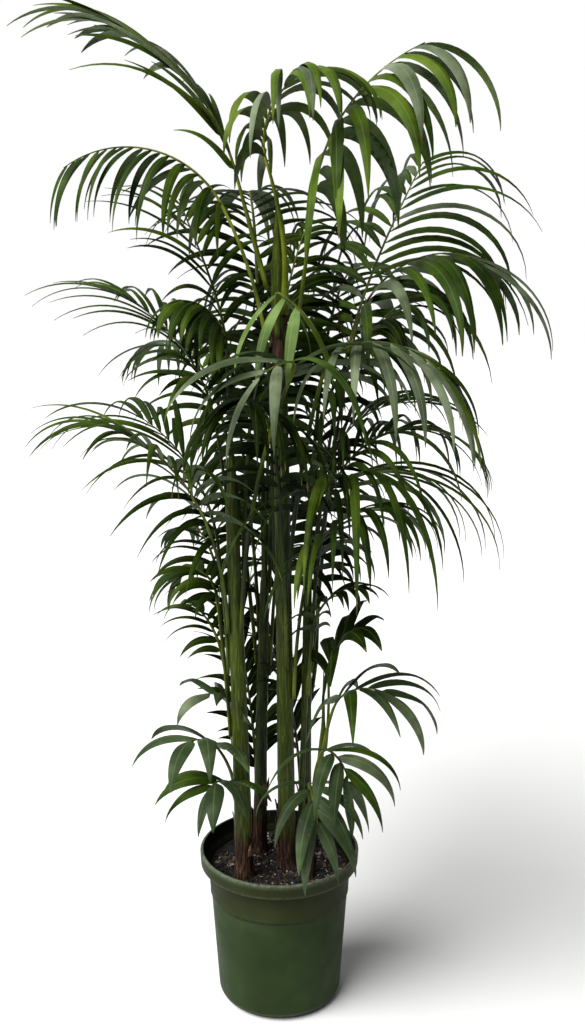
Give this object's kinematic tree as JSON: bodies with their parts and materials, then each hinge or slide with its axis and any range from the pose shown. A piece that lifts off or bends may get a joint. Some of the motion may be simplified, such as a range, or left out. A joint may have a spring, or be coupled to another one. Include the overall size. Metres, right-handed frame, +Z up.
{
  "type": "potted palm",
  "caption": "Tall potted kentia palm: a clump of slim stems with arching feather fronds in a round ribbed nursery pot.",
  "frame": {"origin": "centre of the pot's flat underside", "axes": "+Z up, the picture looks along +Y from -Y, +X to its right"},
  "size_m": [0.9352, 1.0753, 1.8021],
  "materials": {
    "pot": "matte moulded, dark green",
    "soil": "loose bark compost, dark brown",
    "stem": "satin sheathed stem, olive green",
    "petiole": "satin, yellow green",
    "frond": "satin leaf, dark green"
  },
  "bodies": {
    "root": {"frond_back_high": "frond", "frond_back_left": "frond", "frond_back_low": "frond", "frond_back_low_left": "frond", "frond_back_low_right": "frond", "frond_back_right": "frond", "frond_core_front": "frond", "frond_core_high": "frond", "frond_core_left": "frond", "frond_core_low": "frond", "frond_core_middle": "frond", "frond_core_rear": "frond", "frond_core_right": "frond", "frond_crest": "frond", "frond_drooping_left": "frond", "frond_far_right": "frond", "frond_front_centre": "frond", "frond_front_left": "frond", "frond_inner_left": "frond", "frond_inner_right": "frond", "frond_left": "frond", "frond_low_right_front": "frond", "frond_lower_left": "frond", "frond_lower_left_front": "frond", "frond_lower_right": "frond", "frond_middle_right": "frond", "frond_rear_left": "frond", "frond_right": "frond", "frond_right_front": "frond", "frond_short_left": "frond", "frond_short_left_rear": "frond", "frond_short_right": "frond", "frond_top_left": "frond", "frond_top_right": "frond", "frond_upper_left": "frond", "frond_upper_right": "frond", "frond_young_front": "frond", "frond_young_left": "frond", "frond_young_left_front": "frond", "frond_young_left_high": "frond", "frond_young_right": "frond", "frond_young_right_high": "frond", "frond_young_right_low": "frond", "petiole_back_high": "petiole", "petiole_back_right": "petiole", "petiole_far_right": "petiole", "petiole_front_left": "petiole", "petiole_rear_left": "petiole", "petiole_right_front": "petiole", "petiole_upper_right": "petiole", "pot": "pot", "soil": "soil", "stem_left": "stem", "stem_middle": "stem", "stem_rear": "stem", "stem_right": "stem", "stem_slim_right": "stem", "stem_young_left": "stem", "stem_young_right": "stem"}
  },
  "joints": []
}
